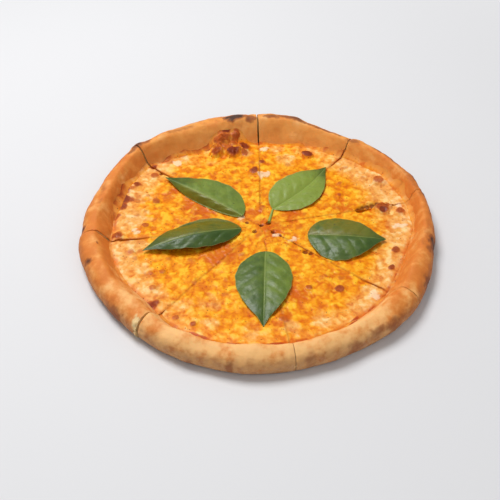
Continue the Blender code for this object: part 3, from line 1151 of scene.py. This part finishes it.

# For each leaf: sideways bow of the midrib, and for its left and right half the width, the fold and
# the curl in degrees, how light it is and how olive. How light each half is stands partly for the
# leaf's own tone and partly for painted light and shade on that half. A stalk is how far it runs
# from the leaf's base.
LEAVES = {
    1: dict(bow=-3.0, wide=(10.5, 25.0), fold=(-38, -10),
            curl=(-40, 6), rise=5.5, tip=0.5, rest=8.2, light=(0.8, 0.5), olive=(0.9, 0.0), stalk=None),
    2: dict(bow=5.0, wide=(21.5, 16.4), fold=(14, 0),
            curl=(-18, -10), rise=2.5, tip=1.0, rest=7.6, light=(0.95, 1.0), olive=(0.1, 0.1),
            stalk=(-3.7, -16.2)),
    3: dict(bow=-2.0, wide=(13.0, 26.0), fold=(-14, -8),
            curl=(-14, -36), rise=8.0, tip=0.5, rest=8.0, light=(0.05, 0.15), olive=(0.0, 0.95),
            stalk=None),
    4: dict(bow=1.5, wide=(22.0, 24.5), fold=(8, 2),
            curl=(-30, -26), rise=3.5, tip=0.5, rest=8.4, light=(0.35, 0.2), olive=(0.95, 0.0),
            stalk=None),
    5: dict(bow=0.0, wide=(21.0, 22.5), fold=(12, 6),
            curl=(-30, -24), rise=2.5, tip=-0.5, rest=8.4, light=(0.42, 0.24), olive=(0.0, 0.0),
            stalk=None),
}


def leaf_ends(number):
    """Stalk end and tip of a leaf in the frame, the stalk end being the one nearer the middle."""
    points = frame_points(f"basil_{number}")[:, :2]
    start = points[np.argmin(np.hypot(*points.T))]
    end = points[np.argmax(np.hypot(*(points - start).T))]
    for _ in range(3):
        reach = points @ (end - start) / np.hypot(*(end - start))
        start = points[reach < reach.min() + END_BAND].mean(axis=0)
        end = points[reach > reach.max() - END_BAND].mean(axis=0)
    cut_short = (end - start) * SHORT_END
    return start - cut_short, end + cut_short


def leaf_grid(start, end, settings):
    """Points of a leaf's blade, with its vein mask and place across it."""
    along = end - start
    length = np.hypot(*along)
    side = np.array([along[1], -along[0]]) / length
    t = np.linspace(0.0, 1.0, LEAF_ROWS)
    v = np.linspace(-1.0, 1.0, LEAF_COLUMNS)
    spine = start + along * t[:, None] + side * settings["bow"] * np.sin(math.pi * t)[:, None]
    rise = settings["rest"] + settings["rise"] * np.sin(math.pi * t) + settings["tip"] * t ** 3
    shape = np.sin(math.pi * t ** 0.72) ** 0.9 * (1.0 - 0.3 * smoothstep(0.72, 0.97, t))
    shape = np.maximum(shape * (1.0 + 0.012 * np.sin(t * 40.0)), 0.012)
    middle = settings["rest"]
    points = np.zeros((LEAF_ROWS, LEAF_COLUMNS, 3))
    for column, across in enumerate(v):
        half = 0 if across < 0 else 1
        wide = settings["wide"][half]
        arc = abs(across) * wide * shape
        bend = np.radians(settings["fold"][half] + settings["curl"][half] * arc / wide / 2)
        step = np.sign(across) * arc * np.cos(bend)
        points[:, column, :2] = spine + side * step[:, None]
        points[:, column, 2] = rise + arc * np.sin(bend)
    wave = noise(points.reshape(-1, 3), 13.0, 70 + int(middle * 10)).reshape(LEAF_ROWS, LEAF_COLUMNS)
    edge = np.abs(v)[None, :]
    points[:, :, 2] += wave * 0.9 * edge ** 2

    forward = t[:, None] - 0.24 * edge ** 0.9 * shape[:, None]
    phase = np.abs((forward * VEINS) % 1.0 - 0.5) * 2.0
    broken = 0.55 + 0.6 * noise(points.reshape(-1, 3), 9.0, 78).reshape(LEAF_ROWS, LEAF_COLUMNS)
    side_vein = smoothstep(0.84, 0.99, phase) * (1.0 - 0.5 * edge) * broken
    midrib = np.exp(-(edge * (0.3 + shape[:, None]) / 0.05) ** 2)
    puff = np.sin(np.clip(1.0 - phase, 0.0, 1.0) * math.pi / 2) * smoothstep(0.03, 0.3, edge)
    small = noise(points.reshape(-1, 3), 3.2, 77).reshape(LEAF_ROWS, LEAF_COLUMNS)
    lift = puff * broken * 0.85 * (1.0 - edge ** 3) + small * 0.3 * edge - midrib * 0.5
    points[:, :, 2] += lift * np.minimum(1.0, shape[:, None] * 1.4)
    vein = np.maximum(side_vein * 0.6, midrib)
    points[:, :, 2] = np.maximum(points[:, :, 2], TOPPING_TOP + 0.7)
    return points, vein, edge * np.ones((LEAF_ROWS, 1)), v[None, :] * np.ones((LEAF_ROWS, 1))


def stalk_points(start, end, thick, rings=14, sides=10):
    """A short tapered stalk that runs straight from the topping up into the leaf."""
    points, faces = [], []
    start, end = np.array(start), np.array(end)
    for ring in range(rings):
        share = ring / (rings - 1)
        middle = start + (end - start) * share
        radius = thick * (1.0 - 0.35 * share)
        aim = math.atan2(end[1] - start[1], end[0] - start[0])
        across = np.array([-math.sin(aim), math.cos(aim), 0.0])
        for side in range(sides):
            angle = math.tau * side / sides
            lift = np.array([0.0, 0.0, math.sin(angle) * radius])
            points.append(middle + across * math.cos(angle) * radius + lift)
    for ring in range(rings - 1):
        for side in range(sides):
            a, b = ring * sides + side, ring * sides + (side + 1) % sides
            faces.append([a, b, b + sides, a + sides])
    faces.append(list(range(sides))[::-1])
    faces.append([(rings - 1) * sides + side for side in range(sides)])
    return np.array(points), faces


def lay_down(points):
    """Move points up or down together, so that the lowest place of the blade meets the topping."""
    gaps = []
    for x, y, z in points.reshape(-1, 3):
        for surface in toppings:
            hit = surface.ray_cast((x * MM, y * MM, 1.0), (0.0, 0.0, -1.0))[0]
            if hit is not None:
                gaps.append(z - BLADE - hit.z / MM)
    points[..., 2] -= min(gaps) + SINK
    return min(gaps)


def make_leaf(number, settings, material):
    start, end = leaf_ends(number)
    points, vein, edge, across = leaf_grid(start, end, settings)
    lifted = lay_down(points)
    print(f"basil {number} from {np.round(start, 1)} to {np.round(end, 1)}, let down by {lifted:.2f} mm")
    flat = points.reshape(-1, 3)
    masks = {"vein": vein.ravel(), "border": edge.ravel()}
    left_share = smoothstep(0.12, -0.12, across.ravel())
    to_tip = np.repeat(smoothstep(0.55, 0.95, np.linspace(0.0, 1.0, LEAF_ROWS)), LEAF_COLUMNS)
    # The tone mask carries each half's lightness: partly the leaf's own tone, partly painted light and shade
    # for how that half lies to the light.
    for mask, values in (("tone", settings["light"]), ("warm", settings["olive"])):
        masks[mask] = blend(values[1], values[0], left_share) * (1.0 - 0.8 * to_tip)
    faces = grid_faces(LEAF_ROWS, LEAF_COLUMNS)
    leaf = make_piece(f"basil_leaf_{number}", flat, faces, material, masks, 180.0)
    solid = leaf.modifiers.new("Blade", "SOLIDIFY")
    solid.thickness = BLADE * MM
    solid.offset = -1.0
    settle(leaf, f"basil_{number}")
    if settings["stalk"]:
        low = points[0, LEAF_COLUMNS // 2, 2] - 0.1
        end = (*start, low)
        start = (*(start + settings["stalk"]), low - 0.1)
        rod, faces = stalk_points(start, end, 1.3)
        masks = {"vein": np.ones(len(rod)), "tone": np.ones(len(rod))}
        stalk = make_piece(f"basil_stalk_{number}", rod, faces, material, masks, 60.0)
        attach(stalk, "root")
    return leaf


# %% [markdown]
# Basil is waxy. The top of the blade is deep green with paler veins, and its gloss is broad and
# soft, so that it greys a little where it mirrors the sky. The border is painted paler: a painted
# highlight where the edge of the blade catches the light.

# %% Leaf material
LEAF_DARK = srgb(52, 80, 16)
LEAF_LIGHT = srgb(136, 156, 58)
LEAF_OLIVE = srgb(110, 106, 0)
LEAF_VEIN = srgb(164, 178, 96)
LEAF_EDGE_HIGHLIGHT = srgb(190, 196, 120)
LEAF_SPECK = srgb(38, 44, 26)


def leaf_material():
    finish = Finish("basil")
    vein, border, tone, warm = (finish.mask(name) for name in ("vein", "border", "tone", "warm"))
    soft = finish.noise(9.0, 3.0)
    fine = finish.noise(1.3, 3.0)
    # Partly painted light and shade: the tone mask makes some halves of a leaf lighter and others darker.
    colour = finish.mix(finish.between(tone * 0.8 + soft * 0.5, 0.2, 1.0), LEAF_DARK, LEAF_LIGHT)
    colour = finish.mix(warm * finish.between(soft, 0.2, 0.5), colour, LEAF_OLIVE)
    colour = finish.mix(finish.between(fine, 0.5, 0.8) * 0.2, colour, LEAF_DARK)
    colour = finish.mix(finish.between(vein, 0.35, 1.0) * 0.35, colour, LEAF_VEIN)
    # Painted highlight: the very border of the blade is painted pale, where the edge catches the light.
    colour = finish.mix(finish.between(border, 0.965, 1.0) * 0.5, colour, LEAF_EDGE_HIGHLIGHT)
    specks = (1.0 - finish.between(finish.cells(7.0), 0.08, 0.14)) * finish.between(soft, 0.45, 0.6)
    colour = finish.mix(specks * 0.7, colour, LEAF_SPECK)
    rough = 0.3 + soft * 0.16 + fine * 0.06
    relief = finish.bump(soft, 0.5)
    relief = finish.bump(fine, 0.1, relief)
    finish.set(Base_Color=colour, Roughness=rough, Normal=relief, Specular_IOR_Level=0.5)
    finish.set(Subsurface_Weight=0.12, Subsurface_Radius=(0.5, 1.0, 0.2), Subsurface_Scale=0.001)
    return finish.material


basil = leaf_material()
depsgraph = bpy.context.evaluated_depsgraph_get()
toppings = [BVHTree.FromObject(bpy.data.objects[f"melted_topping_{number}"], depsgraph)
            for number in range(1, SLICES + 1)]
for number, settings in LEAVES.items():
    leaf = make_leaf(number, settings, basil)
    print(leaf.name, len(leaf.data.vertices), "points")

# %% [markdown]
# The pizza lies on a plain pale floor. A camera looking along the table would see past the edge
# of the floor, so the world behind is the same pale tone, but only for what the eye and the gloss
# see. The light on the pizza is a large soft lamp high at the back left, as from a window, with a
# weak fill from all round.

# %% Floor, lamps and world
# Metres: half the floor's width, how far it lies under the pizza, and where its far part turns to
# the plain background.
FLOOR_HALF = 12
FLOOR_DROP = 0.0002
GLOW_FROM, GLOW_TO = 0.3, 0.75
AMBIENT = 0.35
FLOOR_COLOUR = srgb(226, 226, 228)
BACKGROUND = srgb(236, 236, 238)


def make_floor():
    finish = Finish("plain floor")
    finish.set(Base_Color=FLOOR_COLOUR, Roughness=0.6, Specular_IOR_Level=0.2)
    far = finish.node("ShaderNodeVectorMath", {"operation": "LENGTH"}, {0: finish.place}, "Value")
    seen = finish.node("ShaderNodeLightPath", output="Is Camera Ray")
    glow = finish.node("ShaderNodeEmission", {}, {"Color": BACKGROUND, "Strength": 1.0})
    share = finish.between(far, GLOW_FROM, GLOW_TO) * seen
    lit = Value(finish, finish.shader.outputs[0])
    both = finish.node("ShaderNodeMixShader", {}, {0: share, 1: lit, 2: glow})
    finish.tree.links.new(both.socket, finish.tree.nodes["Material Output"].inputs["Surface"])
    mesh = bpy.data.meshes.new("floor")
    corners = [(-1, -1), (1, -1), (1, 1), (-1, 1)]
    mesh.from_pydata([(x * FLOOR_HALF, y * FLOOR_HALF, -FLOOR_DROP) for x, y in corners], [], [(0, 1, 2, 3)])
    mesh.materials.append(finish.material)
    floor = bpy.data.objects.new("floor", mesh)
    bpy.context.scene.collection.objects.link(floor)


def make_lamp(name, place, aim, size, power):
    lamp = bpy.data.lights.new(name, "AREA")
    lamp.shape = "DISK"
    lamp.size = size
    lamp.energy = power
    holder = bpy.data.objects.new(name, lamp)
    bpy.context.scene.collection.objects.link(holder)
    holder.location = place
    turn = np.array(aim) - np.array(place)
    flat = math.hypot(turn[0], turn[1])
    holder.rotation_euler = (math.atan2(flat, -turn[2]), 0.0, math.atan2(-turn[0], turn[1]))


def make_world():
    world = bpy.data.worlds.new("soft room")
    bpy.context.scene.world = world
    world.use_nodes = True
    tree = world.node_tree
    tree.nodes.clear()
    path = tree.nodes.new("ShaderNodeLightPath")
    seen = tree.nodes.new("ShaderNodeMath")
    seen.operation = "MAXIMUM"
    tree.links.new(path.outputs["Is Camera Ray"], seen.inputs[0])
    tree.links.new(path.outputs["Is Transmission Ray"], seen.inputs[1])
    ambient = tree.nodes.new("ShaderNodeBackground")
    ambient.inputs["Color"].default_value = (1.0, 1.0, 1.0, 1.0)
    ambient.inputs["Strength"].default_value = AMBIENT
    backdrop = tree.nodes.new("ShaderNodeBackground")
    backdrop.inputs["Color"].default_value = BACKGROUND
    choose = tree.nodes.new("ShaderNodeMixShader")
    tree.links.new(seen.outputs[0], choose.inputs[0])
    tree.links.new(ambient.outputs[0], choose.inputs[1])
    tree.links.new(backdrop.outputs[0], choose.inputs[2])
    out = tree.nodes.new("ShaderNodeOutputWorld")
    tree.links.new(choose.outputs[0], out.inputs["Surface"])


make_floor()
make_lamp("window", (-0.5, 0.5, 1.42), (0.0, 0.0, 0.0), 0.8, 20.0)
make_lamp("fill", (0.7, -0.9, 1.0), (0.0, 0.0, 0.0), 1.2, 2.0)
make_world()

# %% [markdown]
# The viewer sits at the table and looks down on the pizza at about 45 degrees.

# %% Camera
LOOK_AT = (-0.0064, -0.0190, 0.0)
LOOK_DOWN = 44.5
VIEW_DISTANCE = 0.6083

camera_data = bpy.data.cameras.new("camera")
camera_data.lens = 55.0
camera_data.sensor_width = 36.0
camera = bpy.data.objects.new("camera", camera_data)
bpy.context.scene.collection.objects.link(camera)
down = math.radians(LOOK_DOWN)
camera.location = (
    LOOK_AT[0],
    LOOK_AT[1] - VIEW_DISTANCE * math.cos(down),
    LOOK_AT[2] + VIEW_DISTANCE * math.sin(down),
)
camera.rotation_euler = (math.pi / 2 - down, 0.0, 0.0)
bpy.context.scene.camera = camera
bpy.context.scene.view_settings.view_transform = "Standard"

# %% Update the scene
bpy.context.view_layer.update()
